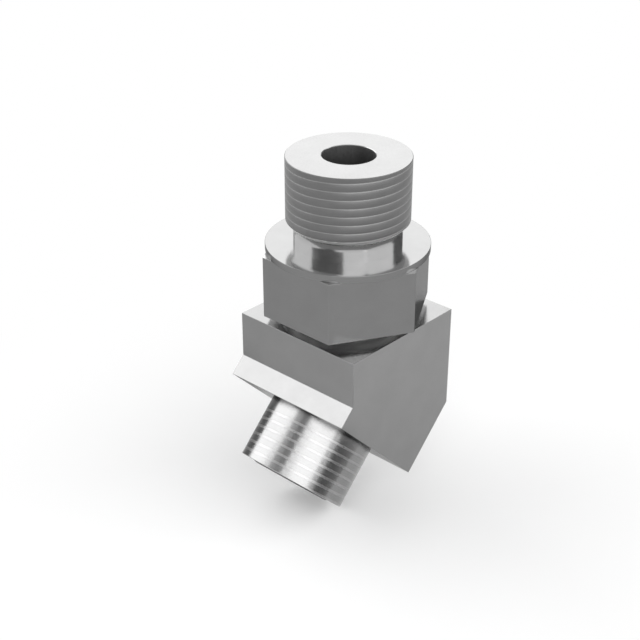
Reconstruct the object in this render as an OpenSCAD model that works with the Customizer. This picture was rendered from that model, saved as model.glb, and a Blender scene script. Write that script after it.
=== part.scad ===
// Forty-five degree elbow adapter with an adjustable stud end.
// The origin is where the axes of the two drilled passages cross.
// The stud stands along +Z and the leg points down towards -X and -Z.

/* [Bar section] */
// Width across the flats of the square bar section
bar_af = 27; // [25:0.5:32]
// Angle between the stud and the leg
bend_angle = 45; // [30:5:60]
// Height of the flat top of the bar section above the crossing
bar_top_h = 14.3; // [12:0.1:20]
// Distance from the crossing to the bar section's end face, along the leg
bar_end_h = 9.65; // [8.5:0.05:13]

/* [Passages] */
// Diameter of the passage drilled down the stud
stud_bore_d = 9.4; // [6:0.1:10]
// How much wider the passage drilled up the leg is than the one down the stud
leg_bore_extra = 0.5; // [0.2:0.1:1]
// Point angle that the drills leave at the bottom of each passage
drill_point_angle = 118; // [100:2:140]
// Chamfer at the mouth of each passage
mouth_chamfer = 0.1; // [0.05:0.05:0.5]

/* [Stud] */
// Outside diameter of both threads on the stud
stud_thread_d = 22; // [21:0.1:24]
// Length of the stud, from the bar section's flat top to the stud's end
stud_l = 30.2; // [29:0.1:36]
// Length of the port thread at the stud's end
port_thread_l = 11.6; // [9:0.1:13]
// Chamfer at each end of the port thread
port_chamfer = 0.1; // [0.05:0.05:0.8]
// Diameter of the smooth neck between the two threads
neck_d = 19.3; // [17:0.1:19.6]
// How far below the locknut's top the rear thread ends and the smooth neck begins
rear_setback = 1.6; // [1.3:0.1:3]
// Diameter of the undercut between the rear thread and the bar section
undercut_d = 19.5; // [17:0.1:20]
// Length of that undercut
undercut_l = 1.9; // [1:0.1:4]
// Chamfer at each end of the rear thread
rear_chamfer = 1.1; // [0.4:0.1:1.4]
// Radius of the concave fillet that leads from the smooth neck up to the port thread
neck_fillet = 3; // [0.5:0.1:3.4]

/* [Locknut] */
// Width across the flats of the locknut
nut_af = 27; // [26:0.5:34]
// Height of the locknut
nut_h = 11.55; // [8:0.05:12]
// Open gap between the bar section and the locknut's underside
nut_gap = 1.43; // [1.3:0.01:2]
// Chamfer at both mouths of the locknut's thread
nut_mouth_chamfer = 0.9; // [0.3:0.1:1.5]
// Running clearance between the nut's bore and the rear thread, on the radius
thread_clear = 0.08; // [0.04:0.01:0.1]

/* [Backup washer] */
// Outside diameter of the backup washer
washer_d = 29.3; // [27:0.1:31]
// Thickness of the backup washer
washer_t = 1.25; // [0.8:0.05:1.6]
// Clearance between the washer and the smooth neck, on the radius
washer_clear = 0.1; // [0.05:0.05:0.5]
// Edge break round the washer's rim
washer_edge = 0.1; // [0.05:0.01:0.3]

/* [Leg] */
// Outside diameter of the leg's thread
leg_thread_d = 20.64; // [20:0.02:24]
// Length of the leg, from the bar section's end face to the leg's flat end
leg_l = 11.85; // [9:0.05:18]
// Chamfer at the end of the leg's thread
leg_chamfer = 0.1; // [0.05:0.05:0.8]

/* [Face seal] */
// Inside diameter of the sealing ring in the leg's end face
seal_inner_d = 12.42; // [11.6:0.02:13.4]
// Diameter of the ring's round section
seal_section = 1.78; // [1.4:0.02:2]
// Depth of the ring's groove
groove_depth = 1.6; // [1:0.05:1.75]
// Clearance between the ring and the groove's outer wall
groove_outer_clear = 0.1; // [0.05:0.01:0.2]
// Clearance between the ring and the groove's inner wall
groove_inner_clear = 0.36; // [0.1:0.02:0.5]
// Clearance between the ring and the groove's floor
groove_floor_clear = 0.03; // [0.02:0.01:0.1]

/* [Hidden] */
$fn = 96;
cut = 0.5;                                      // how far a cutter runs past the face that it cuts
steel = [0.66, 0.66, 0.67];
steel_dark = [0.5, 0.5, 0.51];
steel_light = [0.8, 0.8, 0.81];
seal_black = [0.08, 0.08, 0.08];

// Heights on the stud's axis, and the leg's end on its own axis
stud_end_h = bar_top_h + stud_l;
port_thread_base = stud_end_h - port_thread_l;
nut_base = bar_top_h + nut_gap;
nut_top = nut_base + nut_h;
rear_thread_base = bar_top_h + undercut_l;
rear_thread_top = nut_top - rear_setback;
leg_end_h = bar_end_h + leg_l;

// Half sizes and radii
half_bar = bar_af / 2;
stud_r = stud_thread_d / 2;
neck_r = neck_d / 2;
undercut_r = undercut_d / 2;
stud_bore_r = stud_bore_d / 2;
leg_bore_r = stud_bore_r + leg_bore_extra / 2;
leg_r = leg_thread_d / 2;
nut_bore_r = stud_r + thread_clear;
nut_corner_r = nut_af / 2 / cos(30);
washer_r = washer_d / 2;
washer_hole_r = neck_r + washer_clear;
seal_r = (seal_inner_d + seal_section) / 2;
groove_outer_r = seal_r + seal_section / 2 + groove_outer_clear;
groove_inner_r = seal_r - seal_section / 2 - groove_inner_clear;

// A point of the leg's side view: s along the leg from the crossing, u across it
function leg_point(s, u) = [
    -s * sin(bend_angle) - u * cos(bend_angle),
    -s * cos(bend_angle) + u * sin(bend_angle)
];

// Where the square section's two straight runs meet on the mitre plane
mitre = half_bar * tan(bend_angle / 2);

// Places its children with their +Z pointing out along the leg
module on_leg() {
    rotate([0, 180 + bend_angle, 0]) children();
}

// The bar section as one side view: a straight run, a mitred bend and a second run
module bar_section() {
    outline = [
        [-half_bar, bar_top_h],
        [-half_bar, mitre],
        leg_point(bar_end_h, half_bar),
        leg_point(bar_end_h, -half_bar),
        [half_bar, -mitre],
        [half_bar, bar_top_h]
    ];
    rotate([90, 0, 0])
        linear_extrude(height = bar_af, center = true)
            polygon(outline);
}

// The stud turned in one pass: undercut, rear thread, smooth neck and port thread
// A fillet wider than the step is cut off where it reaches the port thread's edge
module turned_stud() {
    fillet_steps = 8;
    shoulder_r = stud_r - port_chamfer;
    step = shoulder_r - neck_r;
    fillet_angle = neck_fillet > step ? acos(1 - step / neck_fillet) : 90;
    outline = concat(
        [
            [0, 0],
            [undercut_r, 0],
            [undercut_r, rear_thread_base],
            [stud_r - rear_chamfer, rear_thread_base],
            [stud_r, rear_thread_base + rear_chamfer],
            [stud_r, rear_thread_top - rear_chamfer],
            [stud_r - rear_chamfer, rear_thread_top],
            [neck_r, rear_thread_top]
        ],
        [
            for (i = [0 : fillet_steps])
                let (a = fillet_angle * i / fillet_steps)
                    [
                        neck_r + neck_fillet * (1 - cos(a)),
                        port_thread_base - neck_fillet * (sin(fillet_angle) - sin(a))
                    ]
        ],
        neck_fillet < step ? [[shoulder_r, port_thread_base]] : [],
        [
            [stud_r, port_thread_base + port_chamfer],
            [stud_r, stud_end_h - port_chamfer],
            [shoulder_r, stud_end_h],
            [0, stud_end_h]
        ]
    );
    rotate_extrude() polygon(outline);
}

// The leg turned on its own axis, with its lead chamfer
module turned_leg() {
    cylinder(h = leg_end_h - leg_chamfer, r = leg_r);
    translate([0, 0, leg_end_h - leg_chamfer])
        cylinder(h = leg_chamfer, r1 = leg_r, r2 = leg_r - leg_chamfer);
}

// One drilled passage: its mouth is at height end_h and its drill point lies past the crossing
module drilling(r, end_h, other_r) {
    reach = other_r * tan(bend_angle / 2);
    point_h = r / tan(drill_point_angle / 2);
    translate([0, 0, -reach]) cylinder(h = end_h + reach + cut, r = r);
    translate([0, 0, -reach - point_h]) cylinder(h = point_h, r1 = 0, r2 = r);
    translate([0, 0, end_h - mouth_chamfer])
        cylinder(h = mouth_chamfer + cut, r1 = r, r2 = r + mouth_chamfer + cut);
}

// The ring-shaped groove in the leg's end face
module seal_groove() {
    translate([0, 0, leg_end_h - groove_depth])
        difference() {
            cylinder(h = groove_depth + cut, r = groove_outer_r);
            translate([0, 0, -cut]) cylinder(h = groove_depth + 3 * cut, r = groove_inner_r);
        }
}

// Bar section, stud and leg in one piece, bored through and round the bend
module elbow_body() {
    color(steel)
        difference() {
            union() {
                bar_section();
                turned_stud();
                on_leg() turned_leg();
            }
            drilling(stud_bore_r, stud_end_h, leg_bore_r);
            on_leg() {
                drilling(leg_bore_r, leg_end_h, stud_bore_r);
                seal_groove();
            }
        }
}

// Hexagon locknut with two of its flats square to the X axis
module locknut() {
    color(steel_dark)
        translate([0, 0, nut_base])
            difference() {
                rotate([0, 0, 30]) cylinder(h = nut_h, r = nut_corner_r, $fn = 6);
                translate([0, 0, -cut]) cylinder(h = nut_h + 2 * cut, r = nut_bore_r);
                translate([0, 0, -cut])
                    cylinder(
                        h = nut_mouth_chamfer + cut,
                        r1 = nut_bore_r + nut_mouth_chamfer + cut,
                        r2 = nut_bore_r
                    );
                translate([0, 0, nut_h - nut_mouth_chamfer])
                    cylinder(
                        h = nut_mouth_chamfer + cut,
                        r1 = nut_bore_r,
                        r2 = nut_bore_r + nut_mouth_chamfer + cut
                    );
            }
}

// Flat round washer that lies on the locknut and rides with it along the neck
module backup_washer() {
    outline = [
        [washer_hole_r, nut_top],
        [washer_r - washer_edge, nut_top],
        [washer_r, nut_top + washer_edge],
        [washer_r, nut_top + washer_t - washer_edge],
        [washer_r - washer_edge, nut_top + washer_t],
        [washer_hole_r, nut_top + washer_t]
    ];
    color(steel_light) rotate_extrude() polygon(outline);
}

// Round-section sealing ring in the groove of the leg's end face
module face_seal() {
    color(seal_black)
        on_leg()
            translate([0, 0, leg_end_h - groove_depth + groove_floor_clear + seal_section / 2])
                rotate_extrude() translate([seal_r, 0]) circle(d = seal_section);
}

elbow_body();
locknut();
backup_washer();
face_seal();
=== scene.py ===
import math

import bmesh
import bpy
from mathutils import Matrix, Vector


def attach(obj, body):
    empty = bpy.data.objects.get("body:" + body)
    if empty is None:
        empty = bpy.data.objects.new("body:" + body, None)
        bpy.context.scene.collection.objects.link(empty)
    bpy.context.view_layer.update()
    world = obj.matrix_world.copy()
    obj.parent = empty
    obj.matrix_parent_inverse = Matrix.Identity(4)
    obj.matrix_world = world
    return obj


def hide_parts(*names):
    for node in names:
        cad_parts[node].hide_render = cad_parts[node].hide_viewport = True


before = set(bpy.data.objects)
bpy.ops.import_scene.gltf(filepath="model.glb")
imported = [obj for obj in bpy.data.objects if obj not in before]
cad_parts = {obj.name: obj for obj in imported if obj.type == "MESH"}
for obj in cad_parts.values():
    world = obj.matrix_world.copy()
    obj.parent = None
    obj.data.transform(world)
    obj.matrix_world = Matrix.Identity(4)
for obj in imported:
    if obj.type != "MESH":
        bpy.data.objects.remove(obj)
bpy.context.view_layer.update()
scene = bpy.context.scene
mm = 0.001
roundSteps = 192  # facets round every turned surface and every thread
cutOver = 0.5  # mm, how far a cutter runs past the face that it cuts
sharpAngle = 32  # degrees, edges sharper than this stay crisp
weld = 1e-7  # m, points closer than this become one
bumpHeight = 0.02 * mm  # of the fine marks in every finish
upright = Matrix.Identity(4)
print("frame loaded")

# camera
cameraSet = {
    "azimuth": -47.19,  # degrees round the stud, 0 looks along +Y
    "elevation": 28.57,
    "distance": 236.06,  # mm from the plane that holds the crossing of the passages
    "right": -4.91,  # mm, sideways step of the camera
    "up": 10.91,
    "lens": 70.98,
    "sensor": 36,
    "clipFrom": 10,  # mm
    "clipTo": 20000,
}


def makeCamera(c):
    az, el = math.radians(c["azimuth"]), math.radians(c["elevation"])
    back = Vector((math.sin(az) * math.cos(el), -math.cos(az) * math.cos(el), math.sin(el)))
    right = Vector((math.cos(az), math.sin(az), 0))
    up = back.cross(right)
    data = bpy.data.cameras.new("photoCamera")
    data.lens = c["lens"]
    data.sensor_width = c["sensor"]
    data.clip_start = c["clipFrom"] * mm
    data.clip_end = c["clipTo"] * mm
    cam = bpy.data.objects.new("photoCamera", data)
    cam.location = (back * c["distance"] + right * c["right"] + up * c["up"]) * mm
    cam.rotation_mode = "QUATERNION"
    cam.rotation_quaternion = Matrix((right, up, back)).transposed().to_quaternion()
    scene.collection.objects.link(cam)
    scene.camera = cam


makeCamera(cameraSet)
print("camera placed")


# mesh helpers
def newObject(name, bm):
    mesh = bpy.data.meshes.new(name)
    bm.normal_update()
    bm.to_mesh(mesh)
    bm.free()
    obj = bpy.data.objects.new(name, mesh)
    scene.collection.objects.link(obj)
    return obj


def placeMesh(name, bm, matrix):
    bmesh.ops.recalc_face_normals(bm, faces=bm.faces)
    bmesh.ops.transform(bm, matrix=matrix, verts=bm.verts)
    return newObject(name, bm)


def roundEdges(bm, width):
    bmesh.ops.bevel(
        bm, geom=list(bm.edges), offset=width * mm, segments=2, profile=0.5, affect="EDGES"
    )


def angles(steps):
    return [2 * math.pi * i / steps for i in range(steps)]


def ringPoint(r, a, z):
    return (r * mm * math.cos(a), r * mm * math.sin(a), z * mm)


def bridge(bm, a, b):
    # faces between two closed rows of the same number of points
    for i in range(len(a)):
        j = (i + 1) % len(a)
        bm.faces.new((a[i], b[i], b[j], a[j]))


def turned(name, outline, matrix=upright):
    # a solid turned from radii and heights; the first point may lie on the axis
    bm = bmesh.new()
    rings = []
    for r, z in outline:
        if r == 0:
            rings.append([bm.verts.new((0, 0, z * mm))])
        else:
            rings.append([bm.verts.new(ringPoint(r, a, z)) for a in angles(roundSteps)])
    for low, high in zip(rings, rings[1:]):
        for i in range(roundSteps):
            j = (i + 1) % roundSteps
            if len(low) == 1:
                bm.faces.new((low[0], high[j], high[i]))
            else:
                bm.faces.new((low[i], low[j], high[j], high[i]))
    if len(rings[0]) > 1:
        bm.faces.new(list(reversed(rings[0])))
    bm.faces.new(rings[-1])
    return placeMesh(name, bm, matrix)


def ringOf(name, outline, matrix=upright, steps=roundSteps):
    # a ring whose section is the closed outline of radii and heights
    bm = bmesh.new()
    loops = [[bm.verts.new(ringPoint(r, a, z)) for r, z in outline] for a in angles(steps)]
    for i in range(steps):
        bridge(bm, loops[i], loops[(i + 1) % steps])
    return placeMesh(name, bm, matrix)


def helixCutter(name, t, matrix=upright):
    # a V-shaped bar wound along a right-hand helix, which cuts one thread
    inward = -1 if t["outside"] else 1
    turns = (t["to"] - t["from"]) / t["pitch"]
    count = int(round(turns * roundSteps))
    half = t["root"] / 2
    base = t["radius"] - inward * t["over"]
    bm = bmesh.new()
    sections = []
    for i in range(count + 1):
        a = 2 * math.pi * i / roundSteps
        z = t["from"] + t["pitch"] * i / roundSteps
        sink = t["depth"]
        if t["fade"]:
            part = min(i / (t["fade"] * roundSteps), 1)
            part = part * part * (3 - 2 * part)
            sink = t["depth"] * part - t["lift"] * (1 - part)
        tip = t["radius"] + inward * sink
        wide = half + abs(base - tip) * math.tan(math.radians(t["flank"]))
        points = [(tip, z - half), (base, z - wide), (base, z + wide), (tip, z + half)]
        sections.append([bm.verts.new(ringPoint(r, a, h)) for r, h in points])
    for a, b in zip(sections, sections[1:]):
        bridge(bm, a, b)
    bm.faces.new(sections[0])
    bm.faces.new(list(reversed(sections[-1])))
    return placeMesh(name, bm, matrix)


def combine(target, others, operation):
    for other in others:
        mod = target.modifiers.new("step", "BOOLEAN")
        mod.object = other
        mod.operation = operation
        mod.solver = "EXACT"
        graph = bpy.context.evaluated_depsgraph_get()
        graph.update()
        mesh = bpy.data.meshes.new_from_object(target.evaluated_get(graph))
        target.modifiers.clear()
        old = target.data
        target.data = mesh
        bpy.data.meshes.remove(old)
        bpy.data.objects.remove(other)


def finishMesh(obj):
    mesh = obj.data
    bm = bmesh.new()
    bm.from_mesh(mesh)
    bmesh.ops.remove_doubles(bm, verts=bm.verts, dist=weld)
    bmesh.ops.dissolve_degenerate(bm, dist=weld, edges=bm.edges)
    bm.to_mesh(mesh)
    bm.free()
    for p in mesh.polygons:
        p.use_smooth = True
    mesh.set_sharp_from_angle(angle=math.radians(sharpAngle))


def flatten(obj, isFlat):
    for p in obj.data.polygons:
        if isFlat(p):
            p.use_smooth = False


# material helpers
def newMaterial(name):
    mat = bpy.data.materials.new(name)
    mat.use_nodes = True
    return mat, mat.node_tree.nodes, mat.node_tree.links


def grey(level):
    return (level, level, level, 1)


def mapRange(nodes, fromMin, fromMax, toMin, toMax):
    node = nodes.new("ShaderNodeMapRange")
    node.inputs["From Min"].default_value = fromMin
    node.inputs["From Max"].default_value = fromMax
    node.inputs["To Min"].default_value = toMin
    node.inputs["To Max"].default_value = toMax
    return node


def greyRamp(nodes, low, high, dark, light):
    node = nodes.new("ShaderNodeValToRGB")
    first, last = node.color_ramp.elements
    first.position, last.position = low, high
    first.color, last.color = grey(dark), grey(light)
    return node


def noise(nodes, scale, detail):
    node = nodes.new("ShaderNodeTexNoise")
    node.inputs["Scale"].default_value = scale
    node.inputs["Detail"].default_value = detail
    return node


def addBump(nodes, links, grain, strength, shader):
    bump = nodes.new("ShaderNodeBump")
    bump.inputs["Strength"].default_value = strength
    bump.inputs["Distance"].default_value = bumpHeight
    links.new(grain.outputs["Fac"], bump.inputs["Height"])
    links.new(bump.outputs["Normal"], shader.inputs["Normal"])


# steel
def steelMaterial(name, m):
    mat, nodes, links = newMaterial(name)
    shader = nodes["Principled BSDF"]
    shader.inputs["Metallic"].default_value = 1.0
    shader.inputs["Specular Tint"].default_value = grey(m["edgeTint"])
    place = nodes.new("ShaderNodeTexCoord")
    cloud = noise(nodes, m["cloudScale"], m["cloudDetail"])
    links.new(place.outputs["Object"], cloud.inputs["Vector"])
    dark, light = m["colour"] * (1 - m["vary"]), m["colour"] * (1 + m["vary"])
    tone = greyRamp(nodes, m["noiseLow"], m["noiseHigh"], dark, light)
    links.new(cloud.outputs["Fac"], tone.inputs["Fac"])
    # lighter edges, where a rounded normal leaves the true one: partly worn steel, partly a
    # painted edge highlight
    soft = nodes.new("ShaderNodeBevel")
    soft.samples = m["edgeSamples"]
    soft.inputs["Radius"].default_value = m["edgeWidth"] * mm
    surface = nodes.new("ShaderNodeNewGeometry")
    dot = nodes.new("ShaderNodeVectorMath")
    dot.operation = "DOT_PRODUCT"
    links.new(soft.outputs["Normal"], dot.inputs[0])
    links.new(surface.outputs["Normal"], dot.inputs[1])
    wearAndHighlight = mapRange(nodes, m["wearAndHighlightFrom"], m["wearAndHighlightFull"], 0, m["edgeWearAndHighlight"])
    links.new(dot.outputs["Value"], wearAndHighlight.inputs["Value"])
    mix = nodes.new("ShaderNodeMix")
    mix.data_type = "RGBA"
    mix.inputs["B"].default_value = grey(min(1.0, m["colour"] * m["wearAndHighlightLighter"]))
    links.new(wearAndHighlight.outputs["Result"], mix.inputs["Factor"])
    links.new(tone.outputs["Color"], mix.inputs["A"])
    # painted shade: the colour is darkened in inner corners, where ambient occlusion says shade
    # falls
    corner = nodes.new("ShaderNodeAmbientOcclusion")
    corner.samples = m["cornerSamples"]
    corner.only_local = True
    corner.inputs["Distance"].default_value = m["cornerReach"] * mm
    shade = mapRange(nodes, m["cornerFrom"], m["cornerTo"], m["paintedCornerShade"], 1.0)
    links.new(corner.outputs["AO"], shade.inputs["Value"])
    darker = nodes.new("ShaderNodeMix")
    darker.data_type = "RGBA"
    darker.blend_type = "MULTIPLY"
    darker.inputs["Factor"].default_value = 1.0
    links.new(mix.outputs["Result"], darker.inputs["A"])
    links.new(shade.outputs["Result"], darker.inputs["B"])
    links.new(darker.outputs["Result"], shader.inputs["Base Color"])
    # the tool's fine marks, in the roughness and the bump
    grain = noise(nodes, m["grainScale"], m["grainDetail"])
    stretch = nodes.new("ShaderNodeMapping")
    stretch.inputs["Scale"].default_value = m["grainStretch"]
    links.new(place.outputs["Object"], stretch.inputs["Vector"])
    links.new(stretch.outputs["Vector"], grain.inputs["Vector"])
    smoothest, roughest = m["rough"] * (1 - m["roughVary"]), m["rough"] * (1 + m["roughVary"])
    rough = mapRange(nodes, m["noiseLow"], m["noiseHigh"], smoothest, roughest)
    links.new(grain.outputs["Fac"], rough.inputs["Value"])
    links.new(rough.outputs["Result"], shader.inputs["Roughness"])
    addBump(nodes, links, grain, m["bump"], shader)
    return mat


turnedGrain = (1, 1, 6)  # marks drawn out round the stud
# steels of the separate surfaces; several are lighter or darker copies that paint light and shade,
# as noted at each
finishes = {
    # the bar's flats carry a strong lighter edge: worn steel and a painted edge highlight
    "milledSteel": {"colour": 0.24, "rough": 0.2, "bump": 0.12, "edgeTint": 0.5, "edgeWearAndHighlight": 0.7},
    # painted light: the bar's ±Y sides carry a lighter steel than its other sides
    "litFlankSteel": {"colour": 0.285, "rough": 0.2, "bump": 0.12, "edgeTint": 0.7, "edgeWearAndHighlight": 0.7},
    "mitredSteel": {"colour": 0.27, "rough": 0.2, "bump": 0.12},
    # painted light: the faces that look up (stud end, bar top) carry a lighter steel than the
    # sides
    "litFacedSteel": {"colour": 0.34, "rough": 0.2, "bump": 0.12, "paintedCornerShade": 1.0},
    # the leg's sealing face: a finer turned finish, and a lighter colour that is painted light
    "sealFaceFineLitSteel": {"colour": 0.42, "rough": 0.15, "bump": 0.06, "paintedCornerShade": 1.0},
    # the neck's fillet: a duller finish, and a lighter colour that is painted light lifting the
    # shade under the thread
    "filletDullLitSteel": {
        "colour": 0.7, "rough": 0.5, "bump": 0.08, "grainStretch": turnedGrain,
        "paintedCornerShade": 1.0, "edgeWearAndHighlight": 0.0,
    },
    "turnedSteel": {
        "colour": 0.42, "rough": 0.16, "bump": 0.08, "grainStretch": turnedGrain,
        "paintedCornerShade": 1.0, "edgeWearAndHighlight": 0.0, "edgeTint": 0.75,
    },
    # painted shade: the port thread's steel is darker, standing in for the shade between turns
    # that are cut only shallow; its roughness is real
    "portThreadShadedSteel": {
        "colour": 0.161, "vary": 0.04, "rough": 0.45, "bump": 0.15, "grainStretch": turnedGrain,
    },
    # painted highlight: the port thread's shallow groove is lighter, drawing thin light lines
    # along the turns
    "portGrooveLitSteel": {
        "colour": 0.24, "rough": 0.5, "bump": 0.1, "paintedCornerShade": 0.8, "edgeWearAndHighlight": 0.0,
    },
    # painted light: the undercut and rear thread under the nut are nearly white steel, which lifts
    # the shade in the gap
    "litRearSteel": {"colour": 0.9, "rough": 0.55, "bump": 0.15, "paintedCornerShade": 1.0},
    "legThreadSteel": {"colour": 0.29, "rough": 0.2, "bump": 0.08, "cornerReach": 2.4},
    # painted highlight: the leg thread's shallow groove is lighter, drawing light lines along the
    # turns
    "legGrooveLitSteel": {
        "colour": 0.365, "rough": 0.3, "bump": 0.08, "cornerReach": 2.4, "edgeWearAndHighlight": 0.0,
    },
    "boreSteel": {"colour": 0.16, "vary": 0.1, "rough": 0.5, "bump": 0.25},
    "nutSteel": {"colour": 0.207, "rough": 0.22, "bump": 0.12, "edgeTint": 0.42},
    # painted light: the nut's top is a lighter steel than its sides
    "litNutTopSteel": {"colour": 0.6, "rough": 0.2, "bump": 0.06, "paintedCornerShade": 1.0},
    # painted light: the nut's underside and bore are nearly white steel, which lifts the shade in
    # the gap under the nut
    "litNutUnderSteel": {"colour": 0.85, "rough": 0.14, "bump": 0.12, "paintedCornerShade": 1.0},
    "washerSteel": {"colour": 0.325, "rough": 0.13, "bump": 0.08},
}
finishDefaults = {
    "vary": 0.03,  # share by which the colour wanders
    "cloudScale": 260,
    "cloudDetail": 4,
    "grainScale": 2600,
    "grainDetail": 3,
    "grainStretch": (1, 1, 1),
    "noiseLow": 0.3,  # the part of each noise's range that is used
    "noiseHigh": 0.7,
    "roughVary": 0.12,
    "edgeWidth": 0.12,  # mm, of the worn edge
    "edgeWearAndHighlight": 0.25,
    "edgeSamples": 4,
    "wearAndHighlightFrom": 0.995,  # likeness of the two normals at which the worn and highlighted edge starts
    "wearAndHighlightFull": 0.9,
    "wearAndHighlightLighter": 1.5,  # how many times lighter the worn and highlighted edge is
    "edgeTint": 1.0,  # how much of the glancing reflection stays
    # painted shade in inner corners: how far it looks, the occlusion it follows and what is left
    # of the colour
    "cornerReach": 1.5,  # mm
    "cornerFrom": 0.35,
    "cornerTo": 0.7,
    "paintedCornerShade": 0.25,  # what is left of the colour in the deepest corner
    "cornerSamples": 8,
}
steel = {name: steelMaterial(name, {**finishDefaults, **m}) for name, m in finishes.items()}

# rubber
rubberSet = {
    "colour": 0.02,
    "darkest": 0.8,  # times the colour
    "lightest": 1.3,
    "rough": 0.5,
    "roughVary": 0.08,
    "gloss": 0.45,
    "grainScale": 1800,
    "grainDetail": 5,
    "bump": 0.3,
}


def rubberMaterial(name, m):
    mat, nodes, links = newMaterial(name)
    shader = nodes["Principled BSDF"]
    shader.inputs["Specular IOR Level"].default_value = m["gloss"]
    place = nodes.new("ShaderNodeTexCoord")
    grain = noise(nodes, m["grainScale"], m["grainDetail"])
    links.new(place.outputs["Object"], grain.inputs["Vector"])
    tone = greyRamp(nodes, 0, 1, m["colour"] * m["darkest"], m["colour"] * m["lightest"])
    links.new(grain.outputs["Fac"], tone.inputs["Fac"])
    links.new(tone.outputs["Color"], shader.inputs["Base Color"])
    rough = mapRange(nodes, 0, 1, m["rough"] - m["roughVary"], m["rough"] + m["roughVary"])
    links.new(grain.outputs["Fac"], rough.inputs["Value"])
    links.new(rough.outputs["Result"], shader.inputs["Roughness"])
    addBump(nodes, links, grain, m["bump"], shader)
    return mat


sealRubber = rubberMaterial("sealRubber", rubberSet)
print("finishes made")

# elbow body; lengths in mm, heights on the stud's axis or, for the leg, on its own
# a thread's groove is depth deep, root wide at its bottom and opens by flank degrees a side;
# over is how far its cutter stands off the surface
body = {
    "bar": 27.0,
    "barTop": 14.3,
    "barEnd": 9.65,  # along the leg
    "bend": 45.0,
    "edge": 0.06,  # rounding of the bar section's edges
    "undercutR": 9.75,
    "rearBase": 16.2,
    "rearTop": 25.68,
    "rearChamfer": 1.1,
    "threadR": 11.0,
    "neckR": 9.65,
    "neckFillet": 3.0,
    "filletSteps": 12,
    "filletFrom": 32.15,  # height where the fillet's duller steel starts, its lighter colour painted light
    "portBase": 32.9,
    "portChamfer": 0.1,
    "studEnd": 44.5,
    "legR": 10.32,
    "legEnd": 21.5,
    "legChamfer": 0.1,
    "studBoreR": 4.7,
    "legBoreR": 4.95,
    "mouth": 0.1,
    "pointAngle": 118.0,
    "grooveDepth": 1.6,
    "grooveInnerR": 5.85,
    "grooveOuterR": 8.09,
    "portThread": {
        "outside": True, "radius": 11.0, "pitch": 1.5, "from": 32.15, "to": 45.2, "fade": 0,
        "depth": 0.04, "over": 0.1, "root": 0.06, "flank": 60,
    },
    "rearThread": {
        "outside": True, "radius": 11.0, "pitch": 1.5, "from": 15.6, "to": 26.4, "fade": 0,
        "depth": 0.6, "over": 0.4, "root": 0.15, "flank": 30,
    },
    "legThread": {
        "outside": True, "radius": 10.32, "pitch": 1.5875, "from": 10.54, "to": 22.6,
        "fade": 0.3,  # turns over which the groove runs in
        "lift": 0.02,  # how far off the surface the cutter starts
        "depth": 0.02, "over": 0.1, "root": 0.4, "flank": 50,
    },
    # by these a face's finish is told
    "levelSlack": 0.01,  # between one height and the next
    "boreSlack": 0.02,  # how far past the bore its faces may reach
    "boreBottom": -3,  # lowest middle of a drilled face
    "endDepth": 0.15,  # below the stud's end
    "endInset": 0.05,  # inside the port thread's radius
    "portGrooveIn": 0.02,  # a face that reaches this far in is part of the groove
    "legStart": 0.02,  # past the bar section's end
    "legOut": 0.1,  # past the leg thread's radius
    "legGrooveIn": 0.01,
    "legGrooveTo": 0.05,
    "flankNormal": 0.9,  # how squarely a flank faces Y
    "mitreNormal": 0.6,
}
# finishes whose faces are shaded flat, then those shaded smooth
flatKinds = ["milledSteel", "litFlankSteel", "mitredSteel", "litFacedSteel", "sealFaceFineLitSteel"]
roundKinds = [
    "filletDullLitSteel", "turnedSteel", "portThreadShadedSteel", "portGrooveLitSteel", "litRearSteel",
    "legThreadSteel", "legGrooveLitSteel", "boreSteel",
]
bend = math.radians(body["bend"])
onLeg = Matrix.Rotation(math.pi + bend, 4, "Y")  # +Z turns to point out along the leg


def legPoint(s, u):
    # a point of the side view, s along the leg from the crossing and u across it
    return (-s * math.sin(bend) - u * math.cos(bend), -s * math.cos(bend) + u * math.sin(bend))


def barSection(b):
    half = b["bar"] / 2
    mitre = half * math.tan(bend / 2)
    side = [
        (-half, b["barTop"]),
        (-half, mitre),
        legPoint(b["barEnd"], half),
        legPoint(b["barEnd"], -half),
        (half, -mitre),
        (half, b["barTop"]),
    ]
    bm = bmesh.new()
    near = [bm.verts.new((x * mm, -half * mm, z * mm)) for x, z in side]
    far = [bm.verts.new((x * mm, half * mm, z * mm)) for x, z in side]
    bm.faces.new(near)
    bm.faces.new(list(reversed(far)))
    bridge(bm, near, far)
    bmesh.ops.recalc_face_normals(bm, faces=bm.faces)
    roundEdges(bm, b["edge"])
    return newObject("barSection", bm)


def turnedStud(b):
    r, c, p = b["threadR"], b["rearChamfer"], b["portChamfer"]
    # angle of the fillet's arc where it meets the port thread
    full = math.acos(1 - (r - p - b["neckR"]) / b["neckFillet"])
    fillet = []
    for i in range(b["filletSteps"] + 1):
        a = full * i / b["filletSteps"]
        rise = b["neckFillet"] * (math.sin(full) - math.sin(a))
        fillet.append((b["neckR"] + b["neckFillet"] * (1 - math.cos(a)), b["portBase"] - rise))
    return turned("stud", [
        (b["undercutR"], 0),
        (b["undercutR"], b["rearBase"]),
        (r - c, b["rearBase"]),
        (r, b["rearBase"] + c),
        (r, b["rearTop"] - c),
        (r - c, b["rearTop"]),
        (b["neckR"], b["rearTop"]),
        *fillet,
        (r, b["portBase"] + p),
        (r, b["studEnd"] - p),
        (r - p, b["studEnd"]),
    ])


def turnedLeg(b):
    return turned("leg", [
        (b["legR"], 0),
        (b["legR"], b["legEnd"] - b["legChamfer"]),
        (b["legR"] - b["legChamfer"], b["legEnd"]),
    ], onLeg)


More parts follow.
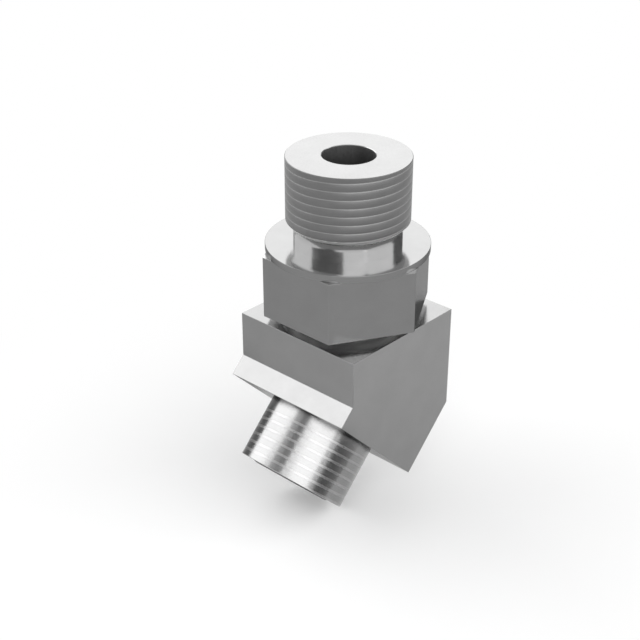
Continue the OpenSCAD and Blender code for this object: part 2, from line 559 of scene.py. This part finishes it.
def drilled(name, r, endH, otherR, b, matrix=upright):
    # one passage, with its drill point just past the other one
    reach = otherR * math.tan(bend / 2)
    point = r / math.tan(math.radians(b["pointAngle"] / 2))
    return turned(name, [
        (0, -reach - point),
        (r, -reach),
        (r, endH - b["mouth"]),
        (r + b["mouth"] + cutOver, endH + cutOver),
    ], matrix)


def sealGroove(b):
    return ringOf("sealGroove", [
        (b["grooveInnerR"], b["legEnd"] - b["grooveDepth"]),
        (b["grooveOuterR"], b["legEnd"] - b["grooveDepth"]),
        (b["grooveOuterR"], b["legEnd"] + cutOver),
        (b["grooveInnerR"], b["legEnd"] + cutOver),
    ], onLeg)


def radii(points):
    lengths = [math.hypot(v.x, v.y) for v in points]
    return min(lengths), max(lengths)


def elbowKind(b, at, along, normal, stud, leg):
    # the steel of a face, from its middle in both axes' measures and its least and greatest radii;
    # several steels are lighter or darker copies that paint light and shade
    if at.z > b["boreBottom"] and stud[1] < b["studBoreR"] + b["boreSlack"]:
        return "boreSteel"
    if along.z > b["boreBottom"] and leg[1] < b["legBoreR"] + b["boreSlack"]:
        return "boreSteel"
    # the stud's end: painted light, the lighter steel of faces that look up
    if at.z > b["studEnd"] - b["endDepth"] and stud[1] < b["threadR"] - b["endInset"]:
        return "litFacedSteel"
    # the port thread: darker steel as painted shade, its shallow groove lighter as painted
    # highlight
    if at.z > b["portBase"] + b["portChamfer"] - b["levelSlack"]:
        inGroove = stud[0] < b["threadR"] - b["portGrooveIn"]
        below = at.z < b["studEnd"] - b["portChamfer"]
        return "portGrooveLitSteel" if inGroove and below else "portThreadShadedSteel"
    # the fillet: duller, and lighter in colour as painted light
    if at.z > b["filletFrom"]:
        return "filletDullLitSteel"
    if at.z > b["rearTop"] - b["levelSlack"]:
        return "turnedSteel"
    # the undercut and rear thread: painted light in the gap under the nut
    if at.z > b["barTop"] + b["levelSlack"]:
        return "litRearSteel"
    # the bar's top: painted light, the lighter steel of faces that look up
    if at.z > b["barTop"] - b["levelSlack"]:
        return "litFacedSteel"
    # the sealing face: finer finish, its lighter colour painted light
    if along.z > b["legEnd"] - b["legChamfer"]:
        return "sealFaceFineLitSteel"
    if along.z > b["barEnd"] + b["legStart"] and leg[1] < b["legR"] + b["legOut"]:
        # the leg thread's groove: a lighter steel as painted highlight
        inGroove = b["legR"] - b["legGrooveTo"] < leg[0] < b["legR"] - b["legGrooveIn"]
        return "legGrooveLitSteel" if inGroove else "legThreadSteel"
    # the bar's ±Y sides: painted light, a lighter steel than the other sides
    if abs(normal.y) > b["flankNormal"]:
        return "litFlankSteel"
    if normal.z > b["mitreNormal"] and along.z < b["barEnd"] - b["levelSlack"]:
        return "mitredSteel"
    return "milledSteel"


def makeElbow(b):
    piece = barSection(b)
    combine(piece, [turnedStud(b), turnedLeg(b)], "UNION")
    # the fine grooves come last, which keeps every step's mesh closed
    combine(piece, [
        drilled("studBore", b["studBoreR"], b["studEnd"], b["legBoreR"], b),
        drilled("legBore", b["legBoreR"], b["legEnd"], b["studBoreR"], b, onLeg),
        sealGroove(b),
        helixCutter("portGroove", b["portThread"]),
        helixCutter("rearGroove", b["rearThread"]),
        helixCutter("legGroove", b["legThread"], onLeg),
    ], "DIFFERENCE")
    piece.name = "elbow_body_machined"
    finishMesh(piece)
    kinds = flatKinds + roundKinds
    for kind in kinds:
        piece.data.materials.append(steel[kind])
    toLeg = onLeg.inverted()
    for face in piece.data.polygons:
        at = face.center / mm
        corners = [piece.data.vertices[v].co / mm for v in face.vertices]
        stud, leg = radii(corners), radii([toLeg @ v for v in corners])
        face.material_index = kinds.index(elbowKind(b, at, toLeg @ at, face.normal, stud, leg))
    flatten(piece, lambda p: p.material_index < len(flatKinds))
    return piece


elbow = makeElbow(body)
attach(elbow, "fitting_body")
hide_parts("elbow_body")
print("elbow body made", len(elbow.data.polygons), "faces")

# locknut
nut = {
    "flats": 27.0,
    "base": 15.73,
    "height": 11.55,
    "boreR": 11.08,
    "mouth": 0.9,
    "edge": 0.04,
    "thread": {
        "outside": False, "radius": 11.08, "pitch": 1.5, "from": 14.9, "to": 28.1, "fade": 0,
        "depth": 0.6, "over": 0.4, "root": 0.15, "flank": 30,
    },
    "insideSlack": 0.02,  # mm past the mouth, where the outside's finish starts
    "levelNormal": 0.99,
}


def makeNut(n):
    corner = n["flats"] / 2 / math.cos(math.radians(30))
    top = n["base"] + n["height"]
    turns = [math.radians(degrees) for degrees in range(30, 390, 60)]
    bm = bmesh.new()
    low, high = [], []
    for a in turns:
        low.append(bm.verts.new(ringPoint(corner, a, n["base"])))
        high.append(bm.verts.new(ringPoint(corner, a, top)))
    bm.faces.new(list(reversed(low)))
    bm.faces.new(high)
    for i in range(len(turns)):
        j = (i + 1) % len(turns)
        bm.faces.new((low[i], low[j], high[j], high[i]))
    bmesh.ops.recalc_face_normals(bm, faces=bm.faces)
    roundEdges(bm, n["edge"])
    piece = newObject("locknut_threaded", bm)
    wide = n["boreR"] + n["mouth"] + cutOver
    hole = turned("nutHole", [
        (wide, n["base"] - cutOver),
        (n["boreR"], n["base"] + n["mouth"]),
        (n["boreR"], top - n["mouth"]),
        (wide, top + cutOver),
    ])
    combine(piece, [hole, helixCutter("nutGroove", n["thread"])], "DIFFERENCE")
    finishMesh(piece)
    for kind in ("nutSteel", "litNutTopSteel", "litNutUnderSteel"):
        piece.data.materials.append(steel[kind])
    inside = (n["boreR"] + n["mouth"] + n["insideSlack"]) * mm
    corners = piece.data.vertices
    for face in piece.data.polygons:
        outer = max(math.hypot(*corners[v].co.xy) for v in face.vertices)
        # painted light: faces that look up take the lighter top steel, faces that look down and
        # the bore the nearly white one
        if face.normal.z > n["levelNormal"]:
            face.material_index = 1
        elif face.normal.z < -n["levelNormal"] or outer < inside:
            face.material_index = 2
        if outer > inside:
            face.use_smooth = False
    return piece


locknut = makeNut(nut)
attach(locknut, "locknut_rotor")
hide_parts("locknut")
print("locknut made", len(locknut.data.polygons), "faces")

# backup washer
washer = {
    "base": 27.28,
    "thick": 1.25,
    "outerR": 14.65,
    "holeR": 9.655,
    "edge": 0.05,
    "rimSlack": 0.06,  # faces this near the outer radius have the rim's finish
    "levelNormal": 0.999,
}


def makeWasher(w):
    low, top = w["base"], w["base"] + w["thick"]
    rim = w["outerR"] - w["edge"]
    outline = [(w["holeR"], top), (w["holeR"], low)]
    for z, first in ((low + w["edge"], -90), (top - w["edge"], 0)):
        for step in range(0, 91, 30):  # degrees round the rounded edge
            a = math.radians(first + step)
            outline.append((rim + w["edge"] * math.cos(a), z + w["edge"] * math.sin(a)))
    piece = ringOf("backup_washer_ground", outline)
    finishMesh(piece)
    # painted light and shade: the washer's flat faces carry a lighter steel than its rim, which
    # takes the nut's darker one
    piece.data.materials.append(steel["washerSteel"])
    piece.data.materials.append(steel["nutSteel"])
    rimFrom = (w["outerR"] - w["rimSlack"]) * mm
    for face in piece.data.polygons:
        face.material_index = 1 if math.hypot(face.center.x, face.center.y) > rimFrom else 0
    flatten(piece, lambda p: abs(p.normal.z) > w["levelNormal"])
    return piece


backupWasher = makeWasher(washer)
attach(backupWasher, "washer_slider")
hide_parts("backup_washer")
print("backup washer made")

# face seal
seal = {"centreR": 7.1, "section": 1.78, "height": 20.82, "sectionSteps": 28, "ringSteps": 128}


def makeSeal(s):
    r = s["section"] / 2
    outline = []
    for a in angles(s["sectionSteps"]):
        outline.append((s["centreR"] + r * math.cos(a), s["height"] + r * math.sin(a)))
    piece = ringOf("face_seal_moulded", outline, onLeg, s["ringSteps"])
    finishMesh(piece)
    piece.data.materials.append(sealRubber)
    return piece


faceSeal = makeSeal(seal)
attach(faceSeal, "fitting_body")
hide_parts("face_seal")
print("face seal made")

# floor, room, cards and lights
studio = {
    "floorZ": -22.4,
    "floorSize": 1300,  # mm, its radius
    "floorSides": 96,
    "floorColour": 0.93,
    "floorRough": 0.9,
    "floorGloss": 0.1,
    "whiteFrom": 40,  # mm from the middle, where the floor starts to turn into the white backdrop
    "whiteTo": 100,
    "ambient": 0.38,
    "boxDistance": 1.2,  # m
}


def seenRays(nodes, links):
    # 1 for the rays that show the backdrop: straight, mirrored or through glass
    path = nodes.new("ShaderNodeLightPath")
    total = path.outputs["Is Camera Ray"]
    for out in ("Is Glossy Ray", "Is Transmission Ray"):
        add = nodes.new("ShaderNodeMath")
        add.operation = "ADD"
        add.use_clamp = True
        links.new(total, add.inputs[0])
        links.new(path.outputs[out], add.inputs[1])
        total = add.outputs["Value"]
    return total


def makeFloor(s):
    bm = bmesh.new()
    rim = [ringPoint(s["floorSize"], a, s["floorZ"]) for a in angles(s["floorSides"])]
    bm.faces.new([bm.verts.new(point) for point in rim])
    floor = newObject("floor", bm)
    mat, nodes, links = newMaterial("paleFloor")
    shader = nodes["Principled BSDF"]
    shader.inputs["Base Color"].default_value = grey(s["floorColour"])
    shader.inputs["Roughness"].default_value = s["floorRough"]
    shader.inputs["Specular IOR Level"].default_value = s["floorGloss"]
    white = nodes.new("ShaderNodeEmission")
    place = nodes.new("ShaderNodeTexCoord")
    away = nodes.new("ShaderNodeVectorMath")
    away.operation = "LENGTH"
    links.new(place.outputs["Object"], away.inputs[0])
    fade = mapRange(nodes, s["whiteFrom"] * mm, s["whiteTo"] * mm, 0, 1)
    fade.interpolation_type = "SMOOTHSTEP"
    links.new(away.outputs["Value"], fade.inputs["Value"])
    seen = nodes.new("ShaderNodeMath")
    seen.operation = "MULTIPLY"
    links.new(fade.outputs["Result"], seen.inputs[0])
    links.new(seenRays(nodes, links), seen.inputs[1])
    mix = nodes.new("ShaderNodeMixShader")
    links.new(seen.outputs["Value"], mix.inputs["Fac"])
    links.new(shader.outputs["BSDF"], mix.inputs[1])
    links.new(white.outputs["Emission"], mix.inputs[2])
    links.new(mix.outputs["Shader"], nodes["Material Output"].inputs["Surface"])
    floor.data.materials.append(mat)


def makeWorld(s):
    world = bpy.data.worlds.new("studioRoom")
    scene.world = world
    world.use_nodes = True
    nodes, links = world.node_tree.nodes, world.node_tree.links
    back = nodes["Background"]
    back.inputs["Color"].default_value = grey(1)
    level = mapRange(nodes, 0, 1, s["ambient"], 1.0)
    links.new(seenRays(nodes, links), level.inputs["Value"])
    links.new(level.outputs["Result"], back.inputs["Strength"])


# widths and heights in m; a level of 1 is white
softboxes = {
    "backBox": {"azimuth": 47, "elevation": 30, "width": 0.62, "height": 0.6, "level": 1.15},
    "leftBox": {"azimuth": 112, "elevation": 29, "width": 1.8, "height": 0.95, "level": 2.2},
    "frontBox": {"azimuth": 229, "elevation": 29, "width": 1.25, "height": 0.95, "level": 2.25},
    "rightBox": {"azimuth": 296, "elevation": 29, "width": 1.5, "height": 0.8, "level": 2.2},
}


def makeSoftbox(name, b):
    az, el = math.radians(b["azimuth"]), math.radians(b["elevation"])
    out = Vector((math.cos(az) * math.cos(el), math.sin(az) * math.cos(el), math.sin(el)))
    data = bpy.data.lights.new(name, "AREA")
    data.shape = "RECTANGLE"
    data.size = b["width"]
    data.size_y = b["height"]
    data.energy = math.pi * b["width"] * b["height"] * b["level"]
    lamp = bpy.data.objects.new(name, data)
    lamp.location = out * studio["boxDistance"]
    lamp.rotation_mode = "QUATERNION"
    lamp.rotation_quaternion = (-out).to_track_quat("-Z", "Y")
    scene.collection.objects.link(lamp)


# upright grey cards, square to the X axis; only the polished steel shows them
cards = {
    "westNear": {"x": -95, "y": -6, "width": 30, "low": 66, "high": 112, "grey": 0.43},
    "westFar": {"x": -200, "y": 13, "width": 282, "low": 92, "high": 160, "grey": 0.37},
    "eastTall": {"x": 95, "y": -8, "width": 100, "low": 54, "high": 100, "grey": 0.37},
    "eastLow": {"x": 60, "y": 6, "width": 40, "low": -22.3, "high": -11, "grey": 0.6},
}
# two more stand beside the leg, in its own measures, and grow lighter from their upper edge down
legCards = {
    "legFront": {"y": -34, "above": 8.4},
    "legBack": {"y": 31, "above": 14.1},
}
legCardShared = {
    "from": 8.6,  # along the leg
    "to": 30,
    "below": -24,
    "dark": 0.2,
    "light": 0.75,
    "even": 0.25,  # share of its height that stays dark
}


def cardFrom(name, corners):
    bm = bmesh.new()
    bm.faces.new([bm.verts.new((x * mm, y * mm, z * mm)) for x, y, z in corners])
    card = newObject(name, bm)
    mat, nodes, links = newMaterial(name)
    nodes["Principled BSDF"].inputs["Roughness"].default_value = 1
    card.data.materials.append(mat)
    card.visible_camera = False
    card.visible_shadow = False
    card.visible_diffuse = False
    return nodes, links


def makeCard(name, c):
    near, far = c["y"] - c["width"] / 2, c["y"] + c["width"] / 2
    corners = [(near, c["low"]), (far, c["low"]), (far, c["high"]), (near, c["high"])]
    nodes = cardFrom(name, [(c["x"], y, z) for y, z in corners])[0]
    nodes["Principled BSDF"].inputs["Base Color"].default_value = grey(c["grey"])


def makeLegCard(name, c):
    below, above = c["below"], c["above"]
    side = [(c["from"], below), (c["to"], below), (c["to"], above), (c["from"], above)]
    corners = []
    for s, u in side:
        x, z = legPoint(s, u)
        corners.append((x, c["y"], z))
    nodes, links = cardFrom(name, corners)
    place = nodes.new("ShaderNodeTexCoord")
    height = nodes.new("ShaderNodeVectorMath")  # how far up the card, square to the leg
    height.operation = "DOT_PRODUCT"
    height.inputs[1].default_value = (-math.cos(bend), 0, math.sin(bend))
    links.new(place.outputs["Object"], height.inputs[0])
    evenTo = above - c["even"] * (above - below)
    tone = mapRange(nodes, evenTo * mm, below * mm, c["dark"], c["light"])
    links.new(height.outputs["Value"], tone.inputs["Value"])
    links.new(tone.outputs["Result"], nodes["Principled BSDF"].inputs["Base Color"])


makeFloor(studio)
makeWorld(studio)
for boxName, boxSet in softboxes.items():
    makeSoftbox(boxName, boxSet)
for cardName, cardSet in cards.items():
    makeCard(cardName, cardSet)
for cardName, cardSet in legCards.items():
    makeLegCard(cardName, {**legCardShared, **cardSet})
scene.view_settings.view_transform = "Standard"
print("studio set")
